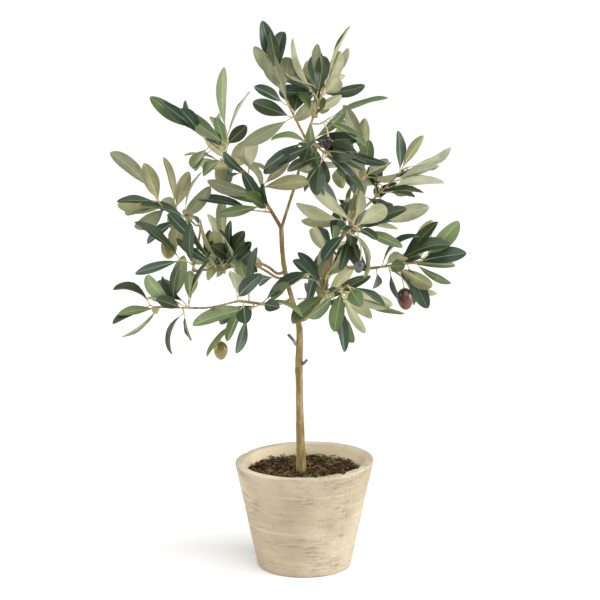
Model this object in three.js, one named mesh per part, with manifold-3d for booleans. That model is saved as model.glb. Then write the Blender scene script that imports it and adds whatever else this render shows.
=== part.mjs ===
// An artificial potted olive tree: a tapered stone-wash pot, its moss fill, a slim wrapped trunk,
// tapering boughs and the crown's leaf masses. Millimetres, +Z up, +X to the right seen from the
// front, origin at the centre of the pot's flat underside.
import * as THREE from "three";
import { mergeVertices } from "three/addons/utils/BufferGeometryUtils.js";
import Module from "manifold-3d";

const wasm = await Module();
wasm.setup();

// ---------------------------------------------------------------- driving dimensions
const POT_HEIGHT = 110;
const POT_RIM_RADIUS = 70;
const POT_FOOT_RADIUS = 48;
const POT_WALL = 8.5;
const POT_FOOT_WALL = 6.5;
const POT_FLOOR = 10;
const POT_EDGE = 1.6; // chamfer at the rim and the foot
const POT_SIDES = 36;
const INNER_RIM_RADIUS = POT_RIM_RADIUS - POT_WALL;
const INNER_FOOT_RADIUS = POT_FOOT_RADIUS - POT_FOOT_WALL;

const SOIL_BELOW_RIM = 14;
const GAP = 0.3; // between neighbouring solids
const SOIL_LEVEL = POT_HEIGHT - SOIL_BELOW_RIM;

const TRUNK_FOOT_RADIUS = 4.9;
const TRUNK_RADIUS = 3.8;
const TRUNK_FORK_RADIUS = 2.3;
const TRUNK_SIDES = 9;
const FLARE_HEIGHT = 60;
const TAPER_FROM = 0.45; // shares of its height between which the trunk thins
const TAPER_TO = 0.8;

const BOUGH_SIDES = 5;
const BOUGH_STEP = 12; // length of bough to each ring

const LOBE_HALF_WIDTH = 14;
const LOBE_HALF_DEPTH = 10;
const LOBE_ROOT = 9; // how far a lobe starts behind its hub
const LOBE_SIDES = 5;
const LOBE_RINGS = 3;
const CORE_RADIUS = 17;
const UNEVENNESS = 0.14;

// ---------------------------------------------------------------- materials
const finish = (name, color, roughness) =>
  new THREE.MeshStandardMaterial({ name, color, roughness, metalness: 0 });

const potMaterial = finish("pot", 0xd9cdb4, 0.85);
const soilMaterial = finish("soil", 0x3b2c1c, 1.0);
const barkMaterial = finish("bark", 0xb3935f, 0.8);
const leafMaterial = finish("leaf", 0x4f6b4c, 0.55);

// ---------------------------------------------------------------- solids
// A small seeded generator, so that every build is the same.
function seeded(seed) {
  let state = seed >>> 0;
  return () => {
    state = (Math.imul(state, 1664525) + 1013904223) >>> 0;
    return state / 4294967296;
  };
}

function solidOf(geometry) {
  const bare = geometry.clone();
  bare.deleteAttribute("normal");
  bare.deleteAttribute("uv");
  const merged = mergeVertices(bare, 1e-4);
  return new wasm.Manifold(
    new wasm.Mesh({
      numProp: 3,
      vertProperties: new Float32Array(merged.attributes.position.array),
      triVerts: new Uint32Array(merged.index.array),
    }),
  );
}

function geometryOf(solid) {
  const mesh = solid.getMesh();
  const geometry = new THREE.BufferGeometry();
  geometry.setAttribute("position", new THREE.BufferAttribute(mesh.vertProperties, 3));
  geometry.setIndex(new THREE.BufferAttribute(mesh.triVerts, 1));
  geometry.computeVertexNormals();
  return geometry;
}

// The largest body of a solid that a cut may have left in pieces.
function mainBody(solid) {
  return solid.decompose().sort((a, b) => b.volume() - a.volume())[0];
}

// A capped cylinder bent along a curve, its radius given at each share of its length.
function limbSolid(points, radiusAt, sides, grow = 0) {
  const curve = new THREE.CatmullRomCurve3(points.map((p) => new THREE.Vector3(...p)));
  const steps = Math.max(4, Math.round(curve.getLength() / BOUGH_STEP));
  const frames = curve.computeFrenetFrames(steps);
  const geometry = new THREE.CylinderGeometry(1, 1, 1, sides, steps);
  const position = geometry.attributes.position;
  for (let i = 0; i < position.count; i++) {
    const share = THREE.MathUtils.clamp(position.getY(i) + 0.5, 0, 1);
    const ring = Math.round(share * steps);
    const radius = radiusAt(share) + grow;
    const point = curve
      .getPointAt(share)
      .addScaledVector(frames.normals[ring], position.getZ(i) * radius)
      .addScaledVector(frames.binormals[ring], position.getX(i) * radius);
    position.setXYZ(i, point.x, point.y, point.z);
  }
  return solidOf(geometry);
}

// One leafy lobe: a pointed, uneven spindle from just behind the hub to its tip. Heading is
// anticlockwise from +X seen from the front, and lean is away from the front, both in degrees.
function lobeSolid(hub, [heading, reach, lean], random, grow) {
  const turn = THREE.MathUtils.degToRad(heading);
  const tilt = THREE.MathUtils.degToRad(lean);
  const along = new THREE.Vector3(
    Math.cos(turn) * Math.cos(tilt),
    Math.sin(tilt),
    Math.sin(turn) * Math.cos(tilt),
  );
  const across = new THREE.Vector3(-Math.sin(turn), 0, Math.cos(turn));
  const basis = new THREE.Matrix4().makeBasis(
    across,
    along,
    new THREE.Vector3().crossVectors(across, along),
  );
  const halfLength = (reach + LOBE_ROOT) / 2;
  const centre = new THREE.Vector3(...hub).addScaledVector(along, halfLength - LOBE_ROOT);
  const sphere = new THREE.SphereGeometry(1, LOBE_SIDES, LOBE_RINGS);
  sphere.deleteAttribute("normal");
  sphere.deleteAttribute("uv");
  const geometry = mergeVertices(sphere, 1e-4);
  const position = geometry.attributes.position;
  for (let i = 0; i < position.count; i++) {
    const swell = 1 + UNEVENNESS * (2 * random() - 1);
    position.setXYZ(
      i,
      position.getX(i) * (LOBE_HALF_WIDTH * swell + grow),
      position.getY(i) * (halfLength + grow),
      position.getZ(i) * (LOBE_HALF_DEPTH * swell + grow),
    );
  }
  geometry.applyMatrix4(basis).translate(centre.x, centre.y, centre.z);
  return solidOf(geometry);
}

// A mass of leaves: lobes that fan out of a core at the hub.
function massSolid({ hub, fan }, seed, grow = 0) {
  const random = seeded(seed);
  const core = new THREE.IcosahedronGeometry(CORE_RADIUS + grow, 0).translate(...hub);
  return fan.reduce(
    (whole, lobe) => whole.add(lobeSolid(hub, lobe, random, grow)),
    solidOf(core),
  );
}

// ---------------------------------------------------------------- pot and fill
function potGeometry() {
  const profile = [
    [0, 0],
    [POT_FOOT_RADIUS - POT_EDGE, 0],
    [POT_FOOT_RADIUS, POT_EDGE],
    [POT_RIM_RADIUS, POT_HEIGHT - POT_EDGE],
    [POT_RIM_RADIUS - POT_EDGE, POT_HEIGHT],
    [INNER_RIM_RADIUS + POT_EDGE, POT_HEIGHT],
    [INNER_RIM_RADIUS, POT_HEIGHT - POT_EDGE],
    [INNER_FOOT_RADIUS, POT_FLOOR],
    [0, POT_FLOOR],
  ];
  return turned(profile);
}

function turned(profile) {
  const points = profile.map(([r, z]) => new THREE.Vector2(r, z));
  return new THREE.LatheGeometry(points, POT_SIDES).rotateX(Math.PI / 2);
}

function innerRadiusAt(z) {
  const share = (z - POT_FLOOR) / (POT_HEIGHT - POT_EDGE - POT_FLOOR);
  return THREE.MathUtils.lerp(INNER_FOOT_RADIUS, INNER_RIM_RADIUS, share);
}

function soilGeometry() {
  const foot = POT_FLOOR + GAP;
  return turned([
    [0, foot],
    [innerRadiusAt(foot) - GAP, foot],
    [innerRadiusAt(SOIL_LEVEL) - GAP, SOIL_LEVEL],
    [0, SOIL_LEVEL],
  ]);
}

// ---------------------------------------------------------------- trunk
const TRUNK_FOOT = [-3, 0, SOIL_LEVEL + GAP];
const FORK = [-23, 0, 349];
const TRUNK_PATH = [
  TRUNK_FOOT,
  [-4.5, 0, 150],
  [-5.5, 0, 210],
  [-5.2, 0, 249],
  [-12, 0, 275],
  [-19, 1, 302],
  [-22.5, 1, 330],
  FORK,
];
const TRUNK_LENGTH = FORK[2] - TRUNK_FOOT[2];

function trunkRadius(share) {
  const height = share * TRUNK_LENGTH;
  const flare = Math.max(0, 1 - height / FLARE_HEIGHT);
  const taper = THREE.MathUtils.smoothstep(share, TAPER_FROM, TAPER_TO);
  return (
    THREE.MathUtils.lerp(TRUNK_RADIUS, TRUNK_FORK_RADIUS, taper) +
    (TRUNK_FOOT_RADIUS - TRUNK_RADIUS) * flare * flare
  );
}

// ---------------------------------------------------------------- crown plan
// Each mass has a hub on its bough, and a fan of lobes: [heading, reach, lean].
const MASSES = {
  mass_top: {
    hub: [12, -5, 484],
    fan: [[113, 60, 4], [88, 54, 22], [64, 76, -6], [356, 70, -14], [256, 46, -10], [40, 44, -50]],
  },
  mass_top_left: {
    hub: [-28, -12, 498],
    fan: [[103, 60, 4], [122, 46, -14], [200, 26, -36], [243, 70, -6], [296, 38, 6], [60, 34, 40]],
  },
  mass_top_back: {
    hub: [16, 60, 474],
    fan: [[100, 44, 18], [30, 40, 34], [170, 36, 40], [280, 34, 52]],
  },
  mass_crown_front: {
    hub: [13, -45, 430],
    fan: [
      [191, 56, -10], [357, 70, -6], [268, 42, -20], [322, 62, -16],
      [22, 46, 10], [165, 50, 8], [250, 40, -62],
    ],
  },
  mass_crown_back: {
    hub: [32, 84, 400],
    fan: [[80, 38, 24], [10, 46, 30], [195, 42, 20], [300, 40, 40], [120, 34, 62]],
  },
  mass_right_upper: {
    hub: [58, 30, 403],
    fan: [[106, 70, 2], [88, 54, -10], [254, 34, 0], [300, 40, -22], [30, 34, -30], [170, 32, 30]],
  },
  mass_right_tip: {
    hub: [102, 25, 397],
    fan: [[68, 48, -4], [34, 58, 10], [180, 34, 4], [222, 40, -14], [350, 32, 44], [300, 30, -50]],
  },
  mass_right_mid: {
    hub: [47, -40, 358],
    fan: [
      [131, 64, 6], [84, 38, -16], [16, 76, 4], [340, 58, -22],
      [292, 48, -12], [232, 50, 12], [350, 40, -62],
    ],
  },
  mass_right_back: {
    hub: [50, 96, 338],
    fan: [[90, 40, 20], [10, 50, 26], [200, 44, 22], [280, 40, 34], [140, 34, 60]],
  },
  mass_right_low: {
    hub: [112, 5, 313],
    fan: [
      [68, 46, -10], [45, 60, 6], [14, 53, -4], [350, 44, 24],
      [304, 36, -8], [250, 46, 4], [197, 46, 8], [150, 36, -60],
    ],
  },
  mass_centre: {
    hub: [22, 5, 318],
    fan: [[112, 38, 0], [86, 38, -24], [190, 34, 0], [20, 36, 30], [330, 38, 58]],
  },
  mass_low_front: {
    hub: [42, -50, 302],
    fan: [[214, 68, -4], [265, 68, 2], [290, 52, -16], [330, 64, 6], [195, 26, -50], [316, 40, -60]],
  },
  mass_low_back: {
    hub: [32, 86, 258],
    fan: [[60, 40, 20], [350, 46, 24], [190, 44, 26], [285, 34, 20], [120, 34, 58]],
  },
  mass_upper_left: {
    hub: [-60, 0, 404],
    fan: [
      [20, 50, -10], [190, 42, -20], [212, 58, 4], [241, 50, -8],
      [128, 32, 10], [325, 28, 6], [280, 36, -58],
    ],
  },
  mass_upper_left_tip: {
    hub: [-92, 30, 429],
    fan: [[139, 68, -4], [122, 52, 14], [78, 80, 0], [18, 30, -20], [290, 26, -30], [214, 30, 8]],
  },
  mass_upper_back: {
    hub: [-84, 92, 402],
    fan: [[100, 42, 14], [20, 44, 26], [180, 46, 24], [270, 36, 30], [60, 32, 62]],
  },
  mass_far_left: {
    hub: [-134, 35, 361],
    fan: [
      [138, 86, 4], [170, 56, -10], [97, 58, -4], [50, 46, 14],
      [186, 50, 12], [278, 38, -6], [130, 34, 60],
    ],
  },
  mass_left_mid: {
    hub: [-92, -15, 336],
    fan: [[129, 38, -6], [0, 40, -12], [203, 32, -18], [308, 38, 4], [166, 82, 0], [60, 32, -56]],
  },
  mass_left_back: {
    hub: [-98, 90, 306],
    fan: [[80, 40, 20], [170, 50, 18], [5, 44, 28], [290, 34, 26], [210, 34, 58]],
  },
  mass_low_left: {
    hub: [-63, -55, 288],
    fan: [
      [243, 66, -6], [24, 70, 6], [353, 44, -14], [72, 58, 2],
      [8, 76, 10], [213, 58, 20], [110, 30, -30], [300, 36, -58],
    ],
  },
  mass_low_left_tip: {
    hub: [-134, -10, 271],
    fan: [[166, 64, 2], [124, 44, 12], [188, 54, -8], [310, 36, -6], [63, 44, -4], [150, 36, 58]],
  },
};

// Each bough: its path, its radius at the root and its radius at the tip.
const CROSSING = [1, -22, 442];
const SHOULDER = [48, 5, 357];
const hub = (mass) => MASSES[mass].hub;
const BOUGHS = {
  bough_left: { path: [FORK, [-34, 0, 368], [-46, 0, 388], hub("mass_upper_left")], radii: [2, 1.4] },
  bough_right: { path: [FORK, [-15, -4, 376], [-9, -10, 395], CROSSING], radii: [1.8, 1.4] },
  bough_low_right: {
    path: [[-5, 0, 248], [3, 0, 260], [18, 0, 285], hub("mass_centre")],
    radii: [2.6, 1.8],
  },
  bough_low_left: { path: [[-12, 0, 275], [-36, -24, 277], hub("mass_low_left")], radii: [1.8, 1.2] },
  bough_mid_left: {
    path: [[-18, 0, 296], [-43, -4, 314], [-70, -9, 313], hub("mass_left_mid")],
    radii: [1.6, 1.1],
  },
  bough_left_back: {
    path: [[-16, 2, 291], [-40, 30, 300], [-68, 62, 306], hub("mass_left_back")],
    radii: [1.6, 1.1],
  },
  bough_low_back: {
    path: [[-7, 2, 262], [5, 30, 262], [18, 58, 258], hub("mass_low_back")],
    radii: [1.6, 1.1],
  },
  bough_crossing: { path: [CROSSING, [8, -34, 440], hub("mass_crown_front")], radii: [1.2, 1] },
  bough_top: { path: [CROSSING, [9, -12, 466], hub("mass_top")], radii: [1.4, 1.1] },
  bough_top_left: {
    path: [CROSSING, [-10, -18, 464], [-19, -15, 482], hub("mass_top_left")],
    radii: [1.3, 1],
  },
  bough_top_back: { path: [hub("mass_top"), [13, 25, 478], hub("mass_top_back")], radii: [1.2, 1] },
  bough_upper_left: {
    path: [hub("mass_upper_left"), [-76, 12, 420], hub("mass_upper_left_tip")],
    radii: [1.2, 1],
  },
  bough_upper_back: {
    path: [hub("mass_upper_left"), [-70, 40, 402], hub("mass_upper_back")],
    radii: [1.2, 1],
  },
  bough_mid_right: {
    path: [hub("mass_centre"), [31, 4, 328], [40, 0, 343], hub("mass_right_mid")],
    radii: [1.5, 1.2],
  },
  bough_shoulder: {
    path: [hub("mass_centre"), [34, 5, 336], SHOULDER, hub("mass_right_upper")],
    radii: [1.5, 1.1],
  },
  bough_right_tip: {
    path: [SHOULDER, [68, 15, 375], [86, 22, 390], hub("mass_right_tip")],
    radii: [1.2, 0.9],
  },
  bough_crown_back: {
    path: [hub("mass_right_upper"), [46, 56, 402], hub("mass_crown_back")],
    radii: [1.2, 1],
  },
  bough_right_low: {
    path: [hub("mass_centre"), [52, 8, 306], [82, 4, 310], hub("mass_right_low")],
    radii: [1.4, 1],
  },
  bough_right_back: {
    path: [hub("mass_centre"), [34, 48, 326], hub("mass_right_back")],
    radii: [1.4, 1],
  },
  bough_low_front: { path: [[16, 0, 281], [28, -24, 290], hub("mass_low_front")], radii: [1.4, 1] },
  bough_far_left: {
    path: [hub("mass_left_mid"), [-110, 5, 353], hub("mass_far_left")],
    radii: [1.2, 0.9],
  },
  bough_low_left_tip: {
    path: [hub("mass_low_left"), [-96, -30, 275], hub("mass_low_left_tip")],
    radii: [1.2, 0.9],
  },
};

// Two short cut stubs on the trunk: [root, tip].
const STUBS = {
  stub_left: [[-7, -1, 229], [-13, -5, 238], [-18, -7, 244]],
  stub_right: [[-3, -1, 210], [1, -3, 213], [3, -4, 216]],
};
const STUB_RADII = [1.5, 1.1];

// ---------------------------------------------------------------- assembly
const tree = new THREE.Group();

function addMesh(name, geometry, material) {
  const mesh = new THREE.Mesh(geometry, material);
  mesh.name = name;
  tree.add(mesh);
}

addMesh("pot", potGeometry(), potMaterial);
addMesh("soil", soilGeometry(), soilMaterial);

const taper = ([root, tip]) => (share) => THREE.MathUtils.lerp(root, tip, share);

// The trunk, the masses, the boughs and the stubs, each cut clear of those made before it.
const clearOf = [];
function addClear(name, make, material) {
  const solid = clearOf.reduce((left, other) => left.subtract(other), make(0));
  addMesh(name, geometryOf(mainBody(solid)), material);
  return make(GAP);
}

clearOf.push(
  addClear(
    "trunk",
    (grow) => limbSolid(TRUNK_PATH, trunkRadius, TRUNK_SIDES, grow),
    barkMaterial,
  ),
);

// A mass is cut round the trunk and the masses made before it.
Object.entries(MASSES).forEach(([name, plan], index) => {
  clearOf.push(addClear(name, (grow) => massSolid(plan, index + 1, grow), leafMaterial));
});

// A bough ends where it enters a mass.
for (const [name, { path, radii }] of Object.entries(BOUGHS))
  clearOf.push(
    addClear(name, (grow) => limbSolid(path, taper(radii), BOUGH_SIDES, grow), barkMaterial),
  );

for (const [name, path] of Object.entries(STUBS))
  clearOf.push(
    addClear(name, (grow) => limbSolid(path, taper(STUB_RADII), BOUGH_SIDES, grow), barkMaterial),
  );

export default tree;
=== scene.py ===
"""Looks of an artificial potted olive tree: a weathered pot with a moss fill, a bark-wrapped trunk
with its boughs and twigs, and cloth leaves in open sprays. Metres, in the frame of the solids."""

import math
import random
from itertools import cycle

import bpy
import numpy as np
from mathutils import Matrix, Vector, noise
from mathutils.bvhtree import BVHTree


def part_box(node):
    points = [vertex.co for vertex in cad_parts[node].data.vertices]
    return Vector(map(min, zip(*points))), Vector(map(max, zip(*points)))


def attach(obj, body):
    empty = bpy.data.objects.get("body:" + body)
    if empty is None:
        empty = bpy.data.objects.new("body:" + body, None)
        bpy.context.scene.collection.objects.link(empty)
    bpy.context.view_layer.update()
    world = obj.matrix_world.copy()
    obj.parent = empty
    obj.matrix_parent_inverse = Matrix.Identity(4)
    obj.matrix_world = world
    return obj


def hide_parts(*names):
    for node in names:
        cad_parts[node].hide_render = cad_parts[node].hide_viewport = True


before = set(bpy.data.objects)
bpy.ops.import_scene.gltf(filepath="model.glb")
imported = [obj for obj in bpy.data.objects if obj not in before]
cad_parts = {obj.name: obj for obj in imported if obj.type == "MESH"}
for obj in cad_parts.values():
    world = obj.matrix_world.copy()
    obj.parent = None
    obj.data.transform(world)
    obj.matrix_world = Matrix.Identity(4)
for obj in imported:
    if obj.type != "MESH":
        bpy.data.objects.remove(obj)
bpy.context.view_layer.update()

MM = 0.001
SEED = 7

# ---------------------------------------------------------------- sizes, in millimetres
SIGHT_PITCH = math.radians(12.7)  # the camera looks down this far
SIGHT_DISTANCE = 2554.0
SIGHT_AIM = Vector((-4.5, 0.0, 276.0))
LENS_TO_SENSOR = 4.257
SENSOR_WIDTH = 36.0

LEAF_LENGTH = 58.0
LEAF_LENGTH_SPREAD = 3.5
LEAF_WIDTH = 14.6
LEAF_WIDTH_SPREAD = 1.4
LEAF_THICKNESS = 0.5
RIB_HALF_WIDTH = 0.55
STALK_RADII = (0.6, 0.5)
STALK_LENGTH = 5.0
STALK_OVERLAP = 1.5  # how far a stalk runs on under its blade
TWIG_RADII = (0.95, 0.65)
TWIG_SIDES = 7
STEM_SIDES = 6
STEM_STEP = 1.5
SHORTEST_STEM = 0.5
STEM_REACH = 0.35  # how far a stem keeps its first and last heading, as a share of its span

OLIVE_LENGTH = 22.0
OLIVE_WIDTH = 16.5

POT_WALL = 8.5
POT_EDGE = 1.5
POT_FOOT_EDGE = 3.0
POT_STEPS_ROUND = 360
LIP_TILT = 1.7  # the hand-cut lip stands this much higher on the right
LIP_UNEVENNESS = 0.5

WRAP_TOP = 149.0  # height at which the trunk's lower wrap ends
WRAP_STEP = 0.45

# ---------------------------------------------------------------- the crown's habit
# Where each bough comes from and the mass that it carries.
BOUGHS = {
    "bough_left": ("trunk", "mass_upper_left"),
    "bough_right": ("trunk", "crossing"),
    "bough_low_right": ("trunk", "mass_centre"),
    "bough_low_left": ("trunk", "mass_low_left"),
    "bough_mid_left": ("trunk", "mass_left_mid"),
    "bough_left_back": ("trunk", "mass_left_back"),
    "bough_low_back": ("trunk", "mass_low_back"),
    "bough_crossing": ("crossing", "mass_crown_front"),
    "bough_top": ("crossing", "mass_top"),
    "bough_top_left": ("crossing", "mass_top_left"),
    "bough_top_back": ("mass_top", "mass_top_back"),
    "bough_upper_left": ("mass_upper_left", "mass_upper_left_tip"),
    "bough_upper_back": ("mass_upper_left", "mass_upper_back"),
    "bough_mid_right": ("mass_centre", "mass_right_mid"),
    "bough_shoulder": ("mass_centre", "mass_right_upper"),
    "bough_right_tip": ("bough_shoulder", "mass_right_tip"),
    "bough_crown_back": ("mass_right_upper", "mass_crown_back"),
    "bough_right_low": ("mass_centre", "mass_right_low"),
    "bough_right_back": ("mass_centre", "mass_right_back"),
    "bough_low_front": ("bough_low_right", "mass_low_front"),
    "bough_far_left": ("mass_left_mid", "mass_far_left"),
    "bough_low_left_tip": ("mass_low_left", "mass_low_left_tip"),
}
CROSSING_BESIDE = "mass_crown_front"  # the mass beside the place where the right bough divides
STUBS = ("stub_left", "stub_right")
BOUGH_STATIONS = 5
HUB_DEPTHS = (15.0, 42.0)  # the least and most that a bough runs on inside its mass

# Each kind of leaf: its tone, and whether its underside is turned outward.
KINDS = {
    "teal": ("teal", False),
    "dark": ("dark", False),
    "green": ("green", False),
    "light": ("light", False),
    "grey": ("grey", False),
    "khaki": ("dark", True),
    "sage": ("green", True),
    "cream": ("light", True),
}

# The kinds dealt out to each mass's sprays, in turn.
SPRAY_KINDS = {
    "mass_top": ("green", "dark", "green", "sage", "grey"),
    "mass_top_left": ("grey", "teal", "grey", "dark"),
    "mass_top_back": ("teal", "green", "khaki", "dark"),
    "mass_crown_front": ("teal", "teal", "green", "dark", "dark"),
    "mass_crown_back": ("dark", "teal", "green", "sage"),
    "mass_right_upper": ("grey", "khaki", "green", "khaki"),
    "mass_right_tip": ("cream", "khaki", "teal", "dark"),
    "mass_right_mid": ("sage", "teal", "teal", "green", "dark"),
    "mass_right_back": ("teal", "dark", "khaki", "green"),
    "mass_right_low": ("green", "dark", "khaki", "teal"),
    "mass_centre": ("teal", "khaki", "sage", "green"),
    "mass_low_front": ("green", "teal", "green", "sage"),
    "mass_low_back": ("dark", "green", "teal", "sage"),
    "mass_upper_left": ("teal", "green", "grey", "khaki"),
    "mass_upper_left_tip": ("light", "teal", "dark", "green"),
    "mass_upper_back": ("teal", "dark", "green", "khaki"),
    "mass_far_left": ("grey", "khaki", "teal", "khaki", "dark"),
    "mass_left_mid": ("dark", "teal", "khaki", "dark"),
    "mass_left_back": ("green", "teal", "dark", "sage"),
    "mass_low_left": ("teal", "teal", "green", "dark", "light"),
    "mass_low_left_tip": ("light", "dark", "dark", "green"),
}

# How a spray grows. Angles are in degrees.
SHORTEST_LOBE = 24.0
LOBE_PARTING = 13.0  # lobes closer in heading than this carry one spray
SHORTEST_TWIG = 5.0
TWIG_BOW = 0.14  # sideways bow of a twig, as a share of its length
TAIL = 42.0  # length of bough, back from its end, that carries sprays
FORK_ANGLE = 42.0  # the angle at which a spray would leave its bough
FORK_SPACING = 8.0  # sprays keep this far apart along the bough, where they can
FORK_CROWDING = 30.0  # what standing at another's fork costs, in degrees off the fork angle
NODE_SPACING = 52.0  # length of spray to each side leaf
BOUGH_NODE_SPACING = 22.0  # length of a back bough to each leaf along it
SIDE_PLACES = (0.2, 0.95)  # where side leaves stand, as shares of the twig
SIDE_ANGLE = (26.0, 62.0)  # between a side leaf and its twig
PAIR_TURN = 90.0  # each side leaf is turned this far round the twig from the last but one
TURN_SPREAD = 35.0
SHORTEST_LEAF = 26.0
SIDE_LENGTH = (0.76, 1.02)  # a side leaf's length, as a share of a full leaf's
LEAF_TRIES = 14
TIP_PLAY = 3.5  # how far an end leaf's tip may stand from its lobe's
LEAF_CLEARANCE = 7.0
OUTSIDE_COST = 1.1  # how strongly a leaf keeps inside the masses, against keeping clear
BACK_BEGINS = 45.0  # sprays further back than this turn their leaves to the back
UPWARD = (0.0, 84.0)  # how far a blade turns from facing outward to facing up
ARCH = (10.0, 34.0)
STRONG_ARCH = (50.0, 95.0)
STRONG_SHARE = 0.22  # share of the leaves that arch strongly
WIDTH_SHARES = (0.75, 1.15)
TWIST = 32.0  # spread of a blade's turn about its own length

# Each olive: its mass, how far right of the hub and how far below it hangs, its depth, size and skin.
OLIVES = [
    ("mass_right_low", -15, 35, -15, 1.0, "red_brown"),
    ("mass_far_left", 8, 45, -10, 1.0, "khaki"),
    ("mass_right_mid", 5, 40, 0, 0.62, "blue_grey"),
    ("mass_low_left", -18, 52, 8, 0.85, "gold"),
    ("mass_right_upper", 12, 35, -10, 0.5, "khaki"),
    ("mass_crown_front", 2, -8, 14, 0.75, "maroon"),
    ("mass_crown_front", 16, -3, 24, 0.6, "maroon"),
]


# ---------------------------------------------------------------- materials
class Shader:
    """A material that is built node by node."""

    def __init__(self, name, roughness, specular):
        self.material = bpy.data.materials.new(name)
        self.material.use_nodes = True
        self.nodes = self.material.node_tree.nodes
        self.links = self.material.node_tree.links
        self.surface = self.nodes["Principled BSDF"]
        self.surface.inputs["Roughness"].default_value = roughness
        self.surface.inputs["Specular IOR Level"].default_value = specular
        self.place = self.nodes.new("ShaderNodeTexCoord")

    def put(self, target, value):
        """Links a socket, or sets a plain number or colour."""
        if isinstance(value, bpy.types.NodeSocket):
            self.links.new(value, target)
        else:
            target.default_value = value

    def stretched(self, scale, source="Object"):
        """Coordinates scaled along each axis."""
        mapping = self.nodes.new("ShaderNodeMapping")
        mapping.inputs["Scale"].default_value = scale
        self.links.new(self.place.outputs[source], mapping.inputs["Vector"])
        return mapping.outputs["Vector"]

    def grain(self, scale, detail, roughness=0.55, vector=None):
        """Noise between 0 and 1."""
        node = self.nodes.new("ShaderNodeTexNoise")
        node.inputs["Scale"].default_value = scale
        node.inputs["Detail"].default_value = detail
        node.inputs["Roughness"].default_value = roughness
        self.links.new(vector or self.place.outputs["Object"], node.inputs["Vector"])
        return node.outputs["Fac"]

    def ramp(self, value, stops):
        """A colour for each value: stops are (place, colour)."""
        node = self.nodes.new("ShaderNodeValToRGB")
        elements = node.color_ramp.elements
        while len(elements) < len(stops):
            elements.new(1.0)
        for element, (place, colour) in zip(elements, stops):
            element.position = place
            element.color = (*colour, 1.0)
        self.links.new(value, node.inputs["Fac"])
        return node.outputs["Color"]

    def window(self, value, low, high):
        """0 below low, 1 above high, and smooth between them."""
        node = self.nodes.new("ShaderNodeMapRange")
        node.interpolation_type = "SMOOTHSTEP"
        node.inputs["From Min"].default_value = low
        node.inputs["From Max"].default_value = high
        self.links.new(value, node.inputs["Value"])
        return node.outputs["Result"]

    def maths(self, operation, first, second=0.0):
        node = self.nodes.new("ShaderNodeMath")
        node.operation = operation
        self.put(node.inputs[0], first)
        self.put(node.inputs[1], second)
        return node.outputs["Value"]

    def times(self, value, amount):
        return self.maths("MULTIPLY", value, amount)

    def uv(self):
        """The place on a leaf, a fruit or the pot: across or round it, and along or up it."""
        split = self.nodes.new("ShaderNodeSeparateXYZ")
        self.links.new(self.place.outputs["UV"], split.inputs["Vector"])
        return split.outputs["X"], split.outputs["Y"]

    def mix(self, factor, first, second):
        """The second colour over the first."""
        node = self.nodes.new("ShaderNodeMix")
        node.data_type = "RGBA"
        self.put(node.inputs["Factor"], factor)
        self.put(node.inputs["A"], first)
        self.put(node.inputs["B"], second)
        return node.outputs["Result"]

    def bump(self, height, depth, strength, under=None):
        node = self.nodes.new("ShaderNodeBump")
        node.inputs["Strength"].default_value = strength
        node.inputs["Distance"].default_value = depth
        self.links.new(height, node.inputs["Height"])
        if under is not None:
            self.links.new(under, node.inputs["Normal"])
        return node.outputs["Normal"]

    def finish(self, colour, normal=None):
        self.links.new(colour, self.surface.inputs["Base Color"])
        if normal is not None:
            self.links.new(normal, self.surface.inputs["Normal"])
        return self.material


def rgba(colour, gain=1.0):
    return (*(min(1.0, channel * gain) for channel in colour), 1.0)


VEIN_SLANT = 0.5
VEIN_CLOSENESS = 70.0


def leaf_marks(shader):
    """Marks from the leaf's own coordinates: side veins that run forward from the midrib, the
    distance from the midrib, and a number of the leaf's own."""
    numbered, along = shader.uv()
    across = shader.maths("FRACT", numbered)
    from_rib = shader.maths("ABSOLUTE", shader.maths("SUBTRACT", across, 0.5))
    slanted = shader.maths("SUBTRACT", along, shader.times(from_rib, VEIN_SLANT))
    wave = shader.maths("SINE", shader.times(slanted, VEIN_CLOSENESS))
    own = shader.nodes.new("ShaderNodeTexWhiteNoise")
    own.noise_dimensions = "1D"
    shader.links.new(shader.maths("FLOOR", numbered), own.inputs["W"])
    return shader.window(wave, 0.2, 1.0), from_rib, own.outputs["Value"]


def leaf_cloth(name, colour, pale, roughness, specular):
    """Printed leaf cloth: a mottled ground, long streaks, faint side veins and a fine weave, and
    edges darkened partly by the print and partly as painted shade.
    """
    shader = Shader(name, roughness, specular)
    mottle = shader.window(shader.grain(60.0, 3.0), 0.3, 0.72)
    ground = shader.mix(mottle, rgba(colour, 0.72), rgba(colour, 1.28))
    streaks = shader.grain(1.0, 3.0, 0.6, shader.stretched((16.0, 1.3, 1.0), "UV"))
    streak = shader.times(shader.window(streaks, 0.45, 0.7), 0.2)
    streaked = shader.mix(streak, ground, rgba(pale))
    vein, from_rib, own = leaf_marks(shader)
    veined = shader.mix(shader.times(vein, 0.05), streaked, rgba(pale))
    # Darker towards the edges: partly the cloth's print, partly painted shade beside a lit midrib.
    rim = shader.times(shader.window(from_rib, 0.05, 0.4), 0.45)
    edge_print_and_shade = shader.mix(rim, veined, rgba(colour, 0.55))
    hem = shader.times(shader.window(from_rib, 0.36, 0.40), 0.35)
    hemmed = shader.mix(hem, edge_print_and_shade, rgba(pale))
    coloured = shader.mix(shader.times(own, 0.45), hemmed, rgba(colour, 1.7))
    normal = shader.bump(vein, 0.0002, 0.2)
    weave = shader.grain(1500.0, 2.0)
    return shader.finish(coloured, shader.bump(weave, 0.0001, 0.3, normal))


def rib_cloth(name, colour):
    """The midrib's printed line, a little uneven along its length."""
    shader = Shader(name, 0.6, 0.3)
    tone = shader.grain(260.0, 2.0)
    return shader.finish(shader.mix(tone, rgba(colour, 0.8), rgba(colour, 1.2)))


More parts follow.
